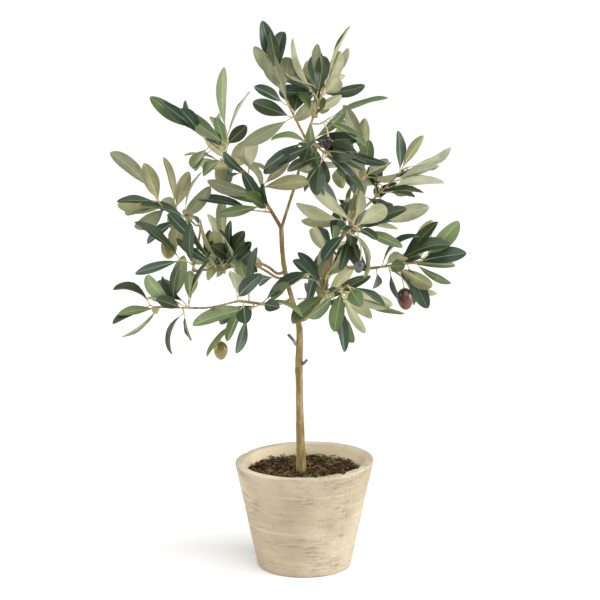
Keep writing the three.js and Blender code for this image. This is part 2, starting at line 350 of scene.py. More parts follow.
def bark(name, dark, middle, light):
    """Moulded bark: long fibres, pale flecks and brown pores."""
    shader = Shader(name, 0.72, 0.3)
    fibres = shader.grain(420.0, 5.0, 0.65, shader.stretched((1.0, 1.0, 0.14)))
    patches = shader.grain(46.0, 3.0)
    fine = shader.times(fibres, 0.6)
    blended = shader.maths("ADD", fine, shader.times(patches, 0.4))
    colour = shader.ramp(blended, [(0.36, dark), (0.49, middle), (0.64, light)])
    pores = shader.window(shader.grain(520.0, 2.0), 0.66, 0.74)
    colour = shader.mix(shader.times(pores, 0.6), colour, rgba(dark, 0.6))
    return shader.finish(colour, shader.bump(fibres, 0.0006, 0.5))


CEMENT = ((0.30, (0.37, 0.305, 0.210)), (0.50, (0.45, 0.375, 0.262)), (0.70, (0.56, 0.49, 0.365)))
CREAM_WASH = (0.70, 0.63, 0.48)
# Painted light: the paler, warmer colour of the inside wall, against the shade in there.
INNER_PAINTED_LIGHT = (0.82, 0.69, 0.45)
# Pale wear on the lip, which also paints light down the inside wall.
LIP_WEAR_AND_INSIDE_LIGHT = (0.80, 0.76, 0.66)
SMUDGE = (0.205, 0.17, 0.12)
SPECK = (0.20, 0.165, 0.12)


def stone_wash():
    """Cast cement with a cream wash: brushed rings, grey-brown smudges, specks and pits. The height
    share runs on past 1 inside the pot, where the wall is made paler and warmer as painted light."""
    shader = Shader("pot_stone", 0.9, 0.2)
    ground = shader.ramp(shader.grain(16.0, 5.0), CEMENT)
    rings = shader.grain(1.0, 4.0, 0.6, shader.stretched((9.0, 9.0, 330.0)))
    wash = shader.times(shader.window(rings, 0.5, 0.7), 0.30)
    ringed = shader.mix(wash, ground, rgba(CREAM_WASH))
    cloudy = shader.grain(26.0, 2.0, 0.5, shader.stretched((1.0, 1.0, 2.0)))
    brushed = shader.grain(1.0, 6.0, 0.7, shader.stretched((60.0, 60.0, 420.0)))
    smudge_zone = shader.window(cloudy, 0.47, 0.62)
    smudge_lines = shader.window(brushed, 0.46, 0.62)
    smudge = shader.times(shader.times(smudge_zone, smudge_lines), 0.62)
    smudged = shader.mix(smudge, ringed, rgba(SMUDGE))
    specks = shader.window(shader.grain(520.0, 3.0), 0.62, 0.72)
    specked = shader.mix(shader.times(specks, 0.55), smudged, rgba(SPECK))
    up = shader.uv()[1]
    uneven_height = shader.maths("ADD", up, shader.times(rings, 0.04))
    # Pale wear on the lip; the window stays full down the inside wall, where the paleness is painted light.
    wear_and_inside_light = shader.window(uneven_height, 1.012, 1.03)
    lipped = shader.mix(shader.times(wear_and_inside_light, 0.4), specked, rgba(LIP_WEAR_AND_INSIDE_LIGHT))
    # Inside the pot the wall is painted paler and warmer: painted light against the shade in there.
    inside = shader.window(up, 1.0, 1.012)
    colour = shader.mix(shader.times(inside, 0.65), lipped, rgba(INNER_PAINTED_LIGHT))
    normal = shader.bump(rings, 0.0006, 0.45)
    return shader.finish(colour, shader.bump(shader.grain(300.0, 5.0), 0.0007, 0.7, normal))


PEAT = ((0.35, (0.012, 0.007, 0.004)), (0.55, (0.040, 0.024, 0.012)), (0.72, (0.10, 0.066, 0.03)))


def peat():
    shader = Shader("soil_peat", 0.95, 0.15)
    tone = shader.grain(170.0, 5.0)
    return shader.finish(shader.ramp(tone, PEAT), shader.bump(tone, 0.002, 0.8))


def moss(name, colour):
    shader = Shader(name, 0.9, 0.15)
    tone = shader.grain(420.0, 3.0)
    return shader.finish(shader.mix(tone, rgba(colour, 0.45), rgba(colour, 1.5)))


def olive_skin(name, shade, glow):
    """A painted olive: darker round its stem, paler to its point, blotched, with a soft gloss."""
    shader = Shader(name, 0.26, 0.5)
    patchy = shader.maths("ADD", shader.grain(90.0, 2.0), shader.uv()[1])
    colour = shader.mix(shader.window(patchy, 0.75, 1.2), rgba(glow), rgba(shade))
    specks = shader.window(shader.grain(900.0, 2.0), 0.68, 0.76)
    shader.surface.inputs["Coat Weight"].default_value = 0.2
    return shader.finish(shader.mix(shader.times(specks, 0.3), colour, rgba(glow, 1.6)))


FLOOR_WHITES = ((0.955, 0.955, 0.952), (0.965, 0.965, 0.962))


def plain_floor():
    shader = Shader("floor_white", 0.9, 0.0)
    duller, brighter = FLOOR_WHITES
    return shader.finish(shader.mix(shader.grain(2.0, 1.0), rgba(duller), rgba(brighter)))


# Each tone: the top's colour and rib, the underside's colour and rib.
TONES = {
    "teal": ((0.017, 0.037, 0.018), (0.16, 0.24, 0.13), (0.30, 0.305, 0.185), (0.50, 0.45, 0.23)),
    "dark": ((0.020, 0.034, 0.010), (0.13, 0.19, 0.07), (0.28, 0.28, 0.15), (0.48, 0.41, 0.20)),
    "green": ((0.090, 0.132, 0.045), (0.27, 0.33, 0.13), (0.36, 0.37, 0.235), (0.54, 0.51, 0.27)),
    "light": ((0.190, 0.245, 0.110), (0.38, 0.44, 0.23), (0.44, 0.455, 0.32), (0.60, 0.56, 0.34)),
    "grey": ((0.175, 0.190, 0.105), (0.33, 0.33, 0.18), (0.42, 0.42, 0.29), (0.56, 0.49, 0.28)),
}


def leaf_materials(tone):
    top, top_rib, under, under_rib = TONES[tone]
    return [
        leaf_cloth(f"leaf_{tone}_top", top, top_rib, 0.40, 0.42),
        leaf_cloth(f"leaf_{tone}_under", under, under_rib, 0.75, 0.12),
        rib_cloth(f"rib_{tone}_top", top_rib),
        rib_cloth(f"rib_{tone}_under", under_rib),
    ]


# ---------------------------------------------------------------- joined meshes
def put_in_scene(name, data):
    obj = bpy.data.objects.new(name, data)
    bpy.context.scene.collection.objects.link(obj)
    return obj


def angles_round(count):
    return [2 * math.pi * s / count for s in range(count)]


def round_point(angle, reach, height):
    return math.cos(angle) * reach, math.sin(angle) * reach, height


def noise_round(angle, reach, height):
    """Noise on a circle of this reach, so that it joins up round a limb, a fruit or the pot."""
    return noise.noise(Vector(round_point(angle, reach, height)))


def noise_over(x, y, pace, layer):
    """Noise over the fill."""
    return noise.noise(Vector((x * pace, y * pace, layer)))


class Piece:
    """The vertices and faces of one joined mesh, each vertex with its place on the leaf or limb."""

    def __init__(self):
        self.points = []
        self.places = []
        self.faces = []
        self.slots = []

    def vertex(self, point, place=(0.5, 0.5)):
        self.points.append(tuple(point))
        self.places.append(place)
        return len(self.points) - 1

    def face(self, corners, slot=0):
        self.faces.append(tuple(corners))
        self.slots.append(slot)

    def band(self, lower, upper, slot=0):
        """Faces between two rings. A ring of one vertex closes to a point."""
        count = max(len(lower), len(upper))
        for s in range(count):
            t = (s + 1) % count
            if len(lower) == 1:
                self.face((lower[0], upper[t], upper[s]), slot)
            elif len(upper) == 1:
                self.face((lower[s], lower[t], upper[0]), slot)
            else:
                self.face((lower[s], lower[t], upper[t], upper[s]), slot)

    def build(self, name, materials, record_slot, nodes, crease=50.0):
        mesh = bpy.data.meshes.new(name)
        mesh.from_pydata([tuple(c * MM for c in p) for p in self.points], [], self.faces)
        for each in materials:
            mesh.materials.append(each)
        mesh.polygons.foreach_set("material_index", self.slots)
        mesh.polygons.foreach_set("use_smooth", [True] * len(self.faces))
        corners = np.empty(len(mesh.loops), dtype=np.int32)
        mesh.loops.foreach_get("vertex_index", corners)
        layer = mesh.uv_layers.new(name="place")
        layer.data.foreach_set("uv", np.array(self.places, dtype=np.float32)[corners].ravel())
        mesh.set_sharp_from_angle(angle=math.radians(crease))
        mesh.update()
        obj = put_in_scene(name, mesh)
        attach(obj, "root")
        if nodes:
            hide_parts(*nodes)


def smooth_line(points, step):
    """Points at even steps along a smooth curve through the given ones."""
    knots = [Vector(p) for p in points]
    ends = [2 * knots[0] - knots[1], *knots, 2 * knots[-1] - knots[-2]]
    line = []
    for before, start, end, after in zip(ends, ends[1:], ends[2:], ends[3:]):
        pieces = max(1, math.ceil((end - start).length / step))
        for k in range(pieces):
            t = k / pieces
            line.append(
                0.5
                * (
                    2 * start
                    + (end - before) * t
                    + (2 * before - 5 * start + 4 * end - after) * t * t
                    + (3 * start - before - 3 * end + after) * t**3
                )
            )
    line.append(knots[-1])
    return line


def tangents_of(line):
    return [
        (line[min(k + 1, len(line) - 1)] - line[max(k - 1, 0)]).normalized() for k in range(len(line))
    ]


def sweep(piece, line, radius_at, sides, slot=0):
    """A closed tube along a line. radius_at takes the share of its length and the angle round it."""
    tangents = tangents_of(line)
    across = tangents[0].orthogonal().normalized()
    rings = []
    for k, (point, tangent) in enumerate(zip(line, tangents)):
        share = k / (len(line) - 1)
        across = (across - tangent * across.dot(tangent)).normalized()
        second = tangent.cross(across)
        ring = []
        for s, angle in enumerate(angles_round(sides)):
            offset = (across * math.cos(angle) + second * math.sin(angle)) * radius_at(share, angle)
            ring.append(piece.vertex(point + offset, (s / sides, share)))
        rings.append(ring)
    for lower, upper in zip(rings, rings[1:]):
        piece.band(lower, upper, slot)
    piece.face(tuple(reversed(rings[0])), slot)
    piece.face(tuple(rings[-1]), slot)


# ---------------------------------------------------------------- places taken from the solids
def middle_of(node):
    """The middle of a solid's box, in millimetres."""
    low, high = (np.array(corner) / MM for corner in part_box(node))
    return Vector(low + (high - low) * 0.5)


def round_size(low, high):
    """The radius of a round solid and the height of its top, in millimetres, from its box."""
    return (high[0] - low[0]) / 2 / MM, high[2] / MM


def limb_line(node, stations):
    """Centres and radii of a limb's cross-sections, from its first end to its last."""
    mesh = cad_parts[node].data
    points = np.empty(len(mesh.vertices) * 3)
    mesh.vertices.foreach_get("co", points)
    points = points.reshape(-1, 3) / MM
    edges = np.empty(len(mesh.edges) * 2, dtype=np.int32)
    mesh.edges.foreach_get("vertices", edges)
    starts, ends = points[edges.reshape(-1, 2)].transpose(1, 0, 2)
    axis = int(np.argmax(points.max(0) - points.min(0)))
    low, high = points[:, axis].min(), points[:, axis].max()
    centres = []
    rims = []
    for level in np.linspace(low, high, stations + 2)[1:-1]:
        crossing = (starts[:, axis] - level) * (ends[:, axis] - level) < 0
        a, b = starts[crossing], ends[crossing]
        share = ((level - a[:, axis]) / (b[:, axis] - a[:, axis]))[:, None]
        rim = a + (b - a) * share
        rims.append(rim)
        centres.append(Vector((rim.min(0) + rim.max(0)) / 2))
    radii = []
    for centre, tangent, rim in zip(centres, tangents_of(centres), rims):
        away = rim - np.array(centre)
        flat = away - np.outer(away @ np.array(tangent), np.array(tangent))
        radii.append(float(np.linalg.norm(flat, axis=1).mean()))
    return centres, radii


def taper(first, last):
    """A radius that runs evenly from the first to the last."""
    return lambda share, angle: first + (last - first) * share


def nearest(line, point):
    return min(line, key=lambda p: (p - point).length)


def length_of(line):
    return sum((b - a).length for a, b in zip(line, line[1:]))


def bough_line(name):
    """A bough's cross-sections in order from its root, with their radii."""
    tip = BOUGHS[name][1]
    aim = middle_of(CROSSING_BESIDE if tip == "crossing" else tip)
    centres, radii = limb_line(name, BOUGH_STATIONS)
    if (centres[0] - aim).length < (centres[-1] - aim).length:
        return centres[::-1], radii[::-1]
    return centres, radii


def hub(name):
    """Where a bough ends: on its own line, abreast of the middle of the mass."""
    bough = next(each for each, ends in BOUGHS.items() if ends[1] == name)
    centres = bough_line(bough)[0]
    end = 2 * centres[-1] - centres[-2]
    if name == "crossing":
        return end
    heading = (centres[-1] - centres[-2]).normalized()
    least, most = HUB_DEPTHS
    middle = (middle_of(name) - end).dot(heading)
    return end + heading * max(least, min(most, middle))


def mass_mesh(name):
    """A mass's separate corners, in millimetres, and its faces."""
    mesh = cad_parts[name].data
    numbers = {}
    shared = [numbers.setdefault(tuple(round(c / MM, 2) for c in v.co), len(numbers)) for v in mesh.vertices]
    faces = [[shared[k] for k in face.vertices] for face in mesh.polygons]
    return [Vector(corner) for corner in numbers], faces


def lobe_tips(name, start):
    """The far ends of a mass's lobes, furthest first: corners that no neighbour lies beyond."""
    corners, faces = mass_mesh(name)
    inner = set()
    for face in faces:
        for a, b in zip(face, face[1:] + face[:1]):
            for near, far in ((a, b), (b, a)):
                if (corners[far] - corners[near]).dot(corners[near] - start) > 0:
                    inner.add(near)
    ends = [corner for k, corner in enumerate(corners) if k not in inner]
    ends.sort(key=lambda corner: -(corner - start).length)
    tips = []
    for end in ends:
        run = end - start
        apart = all(run.angle(tip - start) > math.radians(LOBE_PARTING) for tip in tips)
        if run.length > SHORTEST_LOBE and apart:
            tips.append(end)
    return tips


def leaf_space():
    """The space that the masses hold, to test how far a point lies outside it."""
    corners = []
    faces = []
    for name in SPRAY_KINDS:
        own_corners, own_faces = mass_mesh(name)
        faces += [[len(corners) + k for k in face] for face in own_faces]
        corners += own_corners
    return BVHTree.FromPolygons(corners, faces)


# ---------------------------------------------------------------- trunk, boughs and stubs
def fibre_relief(seed, depth):
    """Long shallow ridges round a limb: a height for each share and angle."""

    def relief(share, angle, length):
        along = share * length
        ridge = noise_round(angle, 2.4, along * 0.045 + seed)
        grit = noise_round(angle, 5.0, along * 0.33 + seed)
        return depth * (ridge + 0.5 * grit)

    return relief


# Each knot on the trunk: its share of the length, the angle it faces and its height.
TRUNK_KNOTS = ((0.215, 0.5, 1.3), (0.43, 2.2, 0.9), (0.60, 4.6, 1.2), (0.74, 1.0, 1.0), (0.86, 3.0, 0.8))
KNOT_SHOWING = 0.5  # share of a knot's height that shows
KNOT_HALF_LENGTH = 4.5
KNOT_HALF_ANGLE = 0.75
TRUNK_STATIONS = 60
TRUNK_SIDES = 32
TRUNK_RELIEF = 0.34
TRUNK_IN_FILL = 4.0  # how far the trunk's mesh runs down into the fill
TRUNK_THINNING = 4  # the line keeps one section in so many
TRUNK_STEP = 1.1
WRAP_SHARPNESS = 1.6
TORN_EDGE = 0.25  # the wrap's upper edge stands out this far,
TORN_BELOW = 1.0  # its middle this far below the top
TORN_HALF_HEIGHT = 1.2


def knot(share, angle, length, at, facing, height):
    """A smooth bump where a twig once grew."""
    round_way = math.remainder(angle - facing, 2 * math.pi)
    spread = ((share - at) * length / KNOT_HALF_LENGTH) ** 2 + (round_way / KNOT_HALF_ANGLE) ** 2
    return height * math.exp(-spread)


def trunk_line():
    centres, radii = limb_line("trunk", TRUNK_STATIONS)
    low, high = (corner[2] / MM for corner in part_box("trunk"))
    foot = Vector((centres[0].x, centres[0].y, low - TRUNK_IN_FILL))
    tip = centres[-1] + (centres[-1] - centres[-2]).normalized() * (high - centres[-1].z)
    return [foot, *centres, tip], [radii[0], *radii, radii[-1]]


def add_trunk(piece):
    knots, radii = trunk_line()
    line = smooth_line(knots[::TRUNK_THINNING] + [knots[-1]], TRUNK_STEP)
    length = length_of(line)
    relief = fibre_relief(SEED, TRUNK_RELIEF)
    places = np.linspace(0, 1, len(radii))

    def radius_at(share, angle):
        height = knots[0].z + share * (knots[-1].z - knots[0].z)
        wrap = WRAP_STEP / (1 + math.exp((height - WRAP_TOP) * WRAP_SHARPNESS))
        torn = TORN_EDGE * math.exp(-(((height - WRAP_TOP + TORN_BELOW) / TORN_HALF_HEIGHT) ** 2))
        bumps = sum(knot(share, angle, length, *k) for k in TRUNK_KNOTS)
        bare = float(np.interp(share, places, radii))
        return bare + relief(share, angle, length) + wrap + torn + bumps * KNOT_SHOWING

    sweep(piece, line, radius_at, TRUNK_SIDES)
    return line


BOUGH_SIDES = 12
BOUGH_RELIEF = 0.2
BOUGH_STEP = 2.0
BOUGH_SEED_STEP = 3.7
COLLAR = 0.35  # swelling at a bough's root
COLLAR_LENGTH = 3.5
JOINT = 0.25  # a slight swelling part-way along a bough
JOINT_PLACE = 0.55
JOINT_HALF_LENGTH = 2.0


def add_boughs(piece, trunk):
    lines = {"trunk": trunk}
    for index, (name, (root, tip)) in enumerate(BOUGHS.items()):
        centres, radii = bough_line(name)
        thick, thin = radii[0], radii[-1]
        start = nearest(lines[root], centres[0]) if root in lines else hub(root)
        line = smooth_line([start, *centres, hub(tip)], BOUGH_STEP)
        length = length_of(line)
        relief = fibre_relief(SEED + BOUGH_SEED_STEP * index, BOUGH_RELIEF)

        def radius_at(share, angle):
            collar = COLLAR * math.exp(-share * length / COLLAR_LENGTH)
            joint = JOINT * math.exp(-(((share - JOINT_PLACE) * length / JOINT_HALF_LENGTH) ** 2))
            return thick + (thin - thick) * share + relief(share, angle, length) + collar + joint

        sweep(piece, line, radius_at, BOUGH_SIDES)
        lines[name] = line
    return lines


STUB_SWELL = 1.3
STUB_LENGTH = 14.0
STUB_SKIN = 0.12
STUB_RELIEF = 0.16
STUB_STEP = 1.0
STUB_SEED = 50


def add_stubs(piece, trunk):
    """The cut twigs on the trunk, each grey over its outer half."""
    for index, name in enumerate(STUBS):
        centres, radii = limb_line(name, BOUGH_STATIONS)
        centres.sort(key=lambda p: (p - nearest(trunk, p)).length)
        start = nearest(trunk, centres[0])
        line = smooth_line([start, *centres], STUB_STEP)
        relief = fibre_relief(SEED + STUB_SEED + index, STUB_RELIEF)

        def radius_at(share, angle):
            return STUB_SWELL * radii[0] * (1.1 - 0.2 * share) + relief(share, angle, STUB_LENGTH)

        sweep(piece, line, radius_at, BOUGH_SIDES)
        outer = line[len(line) // 2 :]

        def skin_at(share, angle):
            return radius_at(0.5 + share / 2, angle) + STUB_SKIN

        sweep(piece, outer, skin_at, BOUGH_SIDES, slot=1)


# ---------------------------------------------------------------- leaves
STATIONS = (0.0, 0.07, 0.16, 0.27, 0.39, 0.51, 0.63, 0.74, 0.84, 0.92, 0.97, 1.0)
WIDEST = 0.55
NARROWEST = 0.07
SIDE_COLUMN = 0.54
FOLDS = (0.18, 0.50)  # how steeply the halves rise from the rib
RIPPLES = (0.02, 0.07)  # height of the edge's waves, as a share of the width
BLADE_TWIST = 16.0
UNTWISTED = 0.3  # share of the blade at which its twist is nil
WAVES = 9.0  # how closely the edge's waves follow one another
WAVE_SHIFT = 2.0  # between the waves of the two edges
PRINT_HALF_WIDTH = 0.4
COLUMNS = 6
RIB_COLUMN = 2
RIB_SLOT = 2
RIB_ROOT = 1.25  # the rib's width at the stalk, in its usual widths, and what it loses by the tip
RIB_LOSS = 0.9
RIB_MOST = 0.4  # the most of the blade's width that the rib takes up
SIDEWAYS = 0.004  # how fast blades turn outward with distance from the trunk, for each millimetre
LEAST_FLAT = 0.15  # a blade that would face along its own length faces across it instead
CLEAR_HALF = 0.3  # half the width over which a blade is kept clear, as a share of its own
CLEAR_SHARES = (0.35, 0.55, 0.75, 0.95)
RIB_SINK = 0.22
RIB_RISE = 0.35


def outline(share):
    """Half the blade's width, as a share of the widest: a long taper and a blunt, rounded tip."""
    if share < WIDEST:
        return max(NARROWEST, math.sin(math.pi / 2 * share / WIDEST) ** 1.05)
    return max(NARROWEST, (1 - ((share - WIDEST) / (1 - WIDEST)) ** 2.0) ** 0.62)


def blade_columns(half, share):
    """Places across the blade, with the rib's two edges in the middle."""
    rib = min(RIB_HALF_WIDTH * (RIB_ROOT - RIB_LOSS * share), RIB_MOST * half)
    return (-half, -SIDE_COLUMN * half, -rib, rib, SIDE_COLUMN * half, half)


def add_blade(piece, number, base, along, normal, length, width, arch, rng):
    """One leaf: a thin closed blade, its top on the side of the normal, folded along its rib."""
    fold = rng.uniform(*FOLDS)
    ripple = rng.uniform(*RIPPLES) * width
    phase = rng.uniform(0, 2 * math.pi)
    twist = math.radians(rng.uniform(-BLADE_TWIST, BLADE_TWIST))
    across = along.cross(normal).normalized()
    bend = math.radians(arch)
    radius = length / (2 * math.sin(bend / 2))
    rows_top = []
    rows_under = []
    last = len(STATIONS) - 1
    for i, share in enumerate(STATIONS):
        turn = bend * (share - 0.5)
        run = radius * (math.sin(turn) + math.sin(bend / 2))
        rise = radius * (math.cos(turn) - math.cos(bend / 2))
        centre = base + along * run + normal * rise
        up = (normal * math.cos(turn) + along * math.sin(turn)).normalized()
        spin = twist * (share - UNTWISTED)
        side = across * math.cos(spin) + up * math.sin(spin)
        lift = up * math.cos(spin) - across * math.sin(spin)
        half = 0.5 * width * outline(share)
        top = []
        under = []
        for j, offset in enumerate(blade_columns(half, share)):
            out = abs(offset)
            shift = phase + (WAVE_SHIFT if offset > 0 else 0.0)
            wave = ripple * math.sin(WAVES * share + shift) * (2 * out / width) ** 2
            point = centre + side * offset + lift * (fold * out + wave)
            place = (number + 0.5 + PRINT_HALF_WIDTH * offset / half, share)
            if i in (0, last) or j in (0, COLUMNS - 1):
                top.append(piece.vertex(point, place))
                under.append(top[-1])
                continue
            rib = j in (RIB_COLUMN, RIB_COLUMN + 1)
            above = LEAF_THICKNESS / 2 - (RIB_SINK if rib else 0.0)
            below = LEAF_THICKNESS / 2 + (RIB_RISE if rib else 0.0)
            top.append(piece.vertex(point + lift * above, place))
            under.append(piece.vertex(point - lift * below, place))
        rows_top.append(top)
        rows_under.append(under)
    for i in range(last):
        for j in range(COLUMNS - 1):
            rib = RIB_SLOT if j == RIB_COLUMN else 0
            for rows, slot in ((rows_top, rib), (rows_under, rib + 1)):
                a, b = rows[i][j], rows[i][j + 1]
                c, d = rows[i + 1][j + 1], rows[i + 1][j]
                corners = ((a, b, c), (a, c, d)) if slot == rib else ((c, b, a), (d, c, a))
                for corner in corners:
                    piece.face(corner, slot)


def blade_points(foot, run, normal, width):
    """Points spread over a blade, to keep it clear of the others."""
    side = run.cross(normal).normalized() * CLEAR_HALF * width
    return [foot + run * t + side * u for t in CLEAR_SHARES for u in (-1, 0, 1)]


def blade_normal(foot, run, roll, twist):
    """The normal of a blade that faces out of the crown, front or back, rolled towards facing up
    and then twisted about its own length."""
    outward = Vector((foot.x * SIDEWAYS, -1.0 if foot.y < BACK_BEGINS else 1.0, 0.0)).normalized()
    turn = math.radians(roll)
    facing = outward * math.cos(turn) + Vector((0.0, 0.0, math.sin(turn)))
    along = run.normalized()
    flat = facing - along * facing.dot(along)
    if flat.length < LEAST_FLAT:
        flat = along.orthogonal()
    return Matrix.Rotation(math.radians(twist), 3, along) @ flat.normalized()


def leaf_turn(turn, k):
    """How far round its twig a side leaf stands: across from its partner, each pair turned on."""
    return turn + (180 if k % 2 else 0) + PAIR_TURN * (k // 2)


class Crown:
    """The leaves of each tone, and the twigs and stalks that carry them."""

    def __init__(self):
        self.rng = random.Random(SEED)
        self.leaves = {tone: Piece() for tone in TONES}
        self.wood = Piece()
        self.space = leaf_space()
        self.count = 0
        self.grown = []
        self.stems = []

    def grow_stem(self, start, end, lead, radii, arrive):
        """A thin stem that leaves along lead, curves to its end and arrives along arrive."""
        span = (end - start).length
        if span < SHORTEST_STEM:
            return
        straight = (end - start).normalized()
        first = start + (lead.normalized() + straight).normalized() * STEM_REACH * span
        last = end - arrive * STEM_REACH * span
        line = []
        steps = max(3, round(span / STEM_STEP))
        for k in range(steps + 1):
            t = k / steps
            u = 1 - t
            line.append(start * u**3 + first * 3 * u * u * t + last * 3 * u * t * t + end * t**3)
        sweep(self.wood, line, taper(*radii), STEM_SIDES)

    def outside(self, points):
        """How far the furthest of the points lies outside the masses."""
        furthest = 0.0
        for point in points:
            surface, normal = self.space.find_nearest(point)[:2]
            if (point - surface).dot(normal) > 0:
                furthest = max(furthest, (point - surface).length)
        return furthest

    def best_run(self, foot, runs, roll, twist, width):
        """Of several runs, the one whose blade keeps inside the masses and clear of the others."""
        grown = np.array(self.grown) if self.grown else None
        best = None
        for run in runs:
            points = blade_points(foot, run, blade_normal(foot, run, roll, twist), width)
            gap = LEAF_CLEARANCE
            if grown is not None:
                apart = np.linalg.norm(grown[:, None] - np.array(points)[None], axis=2)
                gap = min(gap, apart.min())
            score = gap - OUTSIDE_COST * self.outside(points)
            if best is None or score > best[0]:
                best = (score, run, points)
        self.grown.extend(tuple(point) for point in best[2])
        return best[1]

    def grow_leaf(self, node, lead, runs, kind):
        """A stalk and a blade that takes the best of the runs."""
        rng = self.rng
        roll = rng.uniform(*UPWARD)
        twist = rng.gauss(0, TWIST)
        arch = rng.uniform(*(STRONG_ARCH if rng.random() < STRONG_SHARE else ARCH))
        width = rng.gauss(LEAF_WIDTH, LEAF_WIDTH_SPREAD) * rng.uniform(*WIDTH_SHARES)
        run = self.best_run(node, runs, roll, twist, width)
        along = run.normalized()
        normal = blade_normal(node, run, roll, twist)
        tone, turned = KINDS[kind]
        if turned:
            normal = -normal
        bend = math.radians(arch)
        first = (along * math.cos(bend / 2) + normal * math.sin(bend / 2)).normalized()
        base = node + first * STALK_LENGTH
        self.grow_stem(node, base + first * STALK_OVERLAP, lead, STALK_RADII, first)
        length = max(SHORTEST_LEAF, run.length - STALK_LENGTH)
        self.count += 1
        add_blade(self.leaves[tone], self.count, base, along, normal, length, width, arch, rng)

    def end_runs(self, run):
        """Runs that reach a lobe's tip, or very nearly."""
        rng = self.rng
        play = [Vector([rng.uniform(-TIP_PLAY, TIP_PLAY) for _ in range(3)]) for _ in range(LEAF_TRIES)]
        return [run] + [run + shift for shift in play]

    def side_runs(self, lead, turn):
        """Runs at an angle to the twig, turned about it."""
        rng = self.rng
        across = lead.orthogonal().normalized()
        runs = []
        for _ in range(LEAF_TRIES):
            spin = math.radians(turn + rng.uniform(-TURN_SPREAD, TURN_SPREAD))
            hinge = Matrix.Rotation(spin, 3, lead) @ across
            angle = math.radians(rng.uniform(*SIDE_ANGLE))
            length = rng.gauss(LEAF_LENGTH, LEAF_LENGTH_SPREAD) * rng.uniform(*SIDE_LENGTH)
            runs.append(Matrix.Rotation(angle, 3, hinge) @ lead * length)
        return runs

    def grow_spray(self, start, tip, kind, others):
        """A twig towards a lobe's tip, a leaf at its end, and leaves in turning pairs along it."""
        rng = self.rng
        reach = tip - start
        length = rng.gauss(LEAF_LENGTH, LEAF_LENGTH_SPREAD)
        bare = max(SHORTEST_TWIG, reach.length - length)
        lead = reach.normalized()
        end = start + lead * bare
        bow = Matrix.Rotation(rng.uniform(0, 2 * math.pi), 3, lead) @ lead.orthogonal().normalized()
        line = smooth_line([start, (start + end) / 2 + bow * TWIG_BOW * bare, end], STEM_STEP)
        self.stems += line
        sweep(self.wood, line, taper(*TWIG_RADII), TWIG_SIDES)
        self.grow_leaf(end, lead, self.end_runs(tip - end), kind)
        turn = rng.uniform(0, 360)
        sides = round(reach.length / NODE_SPACING)
        for k in range(sides):
            share = rng.uniform(*SIDE_PLACES)
            node = line[round(share * (len(line) - 1))]
            runs = self.side_runs(lead, leaf_turn(turn, k))
            self.grow_leaf(node, lead, runs, rng.choice(others))

    def spray_start(self, tail, tip, forks):
        """The point of a bough's last stretch from which a twig to the tip forks off most naturally,
        away from the forks already there."""
        misses = []
        for point, lead in zip(tail, tangents_of(tail)):
            off = abs(math.degrees((tip - point).angle(lead)) - FORK_ANGLE)
            crowding = sum(max(0.0, 1 - (point - fork).length / FORK_SPACING) for fork in forks)
            misses.append(off + FORK_CROWDING * crowding)
        return tail[misses.index(min(misses))]

    def grow_mass(self, name, line):
        """Sprays to each lobe of a mass, from the last stretch of its bough."""
        end = line[-1]
        tail = [point for point in line if (point - end).length < TAIL]
        kinds = SPRAY_KINDS[name]
        forks = []
        for tip, kind in zip(lobe_tips(name, end), cycle(kinds)):
            forks.append(self.spray_start(tail, tip, forks))
            self.grow_spray(forks[-1], tip, kind, kinds)

    def grow_along(self, name, line):
        """Leaves in turning pairs along a bough that runs to the back."""
        rng = self.rng
        count = round(length_of(line) / BOUGH_NODE_SPACING)
        turn = rng.uniform(0, 360)
        for k in range(1, count):
            place = round(k / count * (len(line) - 1))
            lead = (line[min(place + 1, len(line) - 1)] - line[place - 1]).normalized()
            runs = self.side_runs(lead, leaf_turn(turn, k))
            self.grow_leaf(line[place], lead, runs, rng.choice(SPRAY_KINDS[name]))

    def build(self):
        masses = list(SPRAY_KINDS)
        for tone, piece in self.leaves.items():
            piece.build(f"leaves_{tone}", leaf_materials(tone), "leaf", masses)
        twig_bark = bark("twig_bark", (0.30, 0.22, 0.095), (0.50, 0.42, 0.22), (0.62, 0.56, 0.35))
        self.wood.build("twigs", [twig_bark], "bark", [])


# ---------------------------------------------------------------- olives
SKINS = {
    "red_brown": ((0.020, 0.005, 0.004), (0.13, 0.040, 0.010)),
    "khaki": ((0.075, 0.075, 0.014), (0.20, 0.17, 0.026)),
    "blue_grey": ((0.045, 0.050, 0.047), (0.11, 0.118, 0.105)),
    "gold": ((0.15, 0.115, 0.025), (0.30, 0.23, 0.07)),
    "maroon": ((0.008, 0.004, 0.003), (0.042, 0.015, 0.009)),
}
OLIVE_ROWS = 20
OLIVE_SIDES = 24
OLIVE_STEM_LEAD = Vector((0, -6, 10))  # a stem first bends up and forward
OLIVE_STEM_RADII = (0.6, 0.75)
SHORTEST_OLIVE_STEM = 4.0
OLIVE_TILT = 0.2
OLIVE_EGG = 0.10  # how much fuller an olive is towards its stem
OLIVE_DENT = 0.025
OLIVE_POINT = 0.25
CAP_ENDS = (-0.8, 1.2)  # the stem's cap, from below the olive's top to above it
CAP_RADII = (2.2, 0.8)
CAP_STEP = 0.5
CAP_SIDES = 8


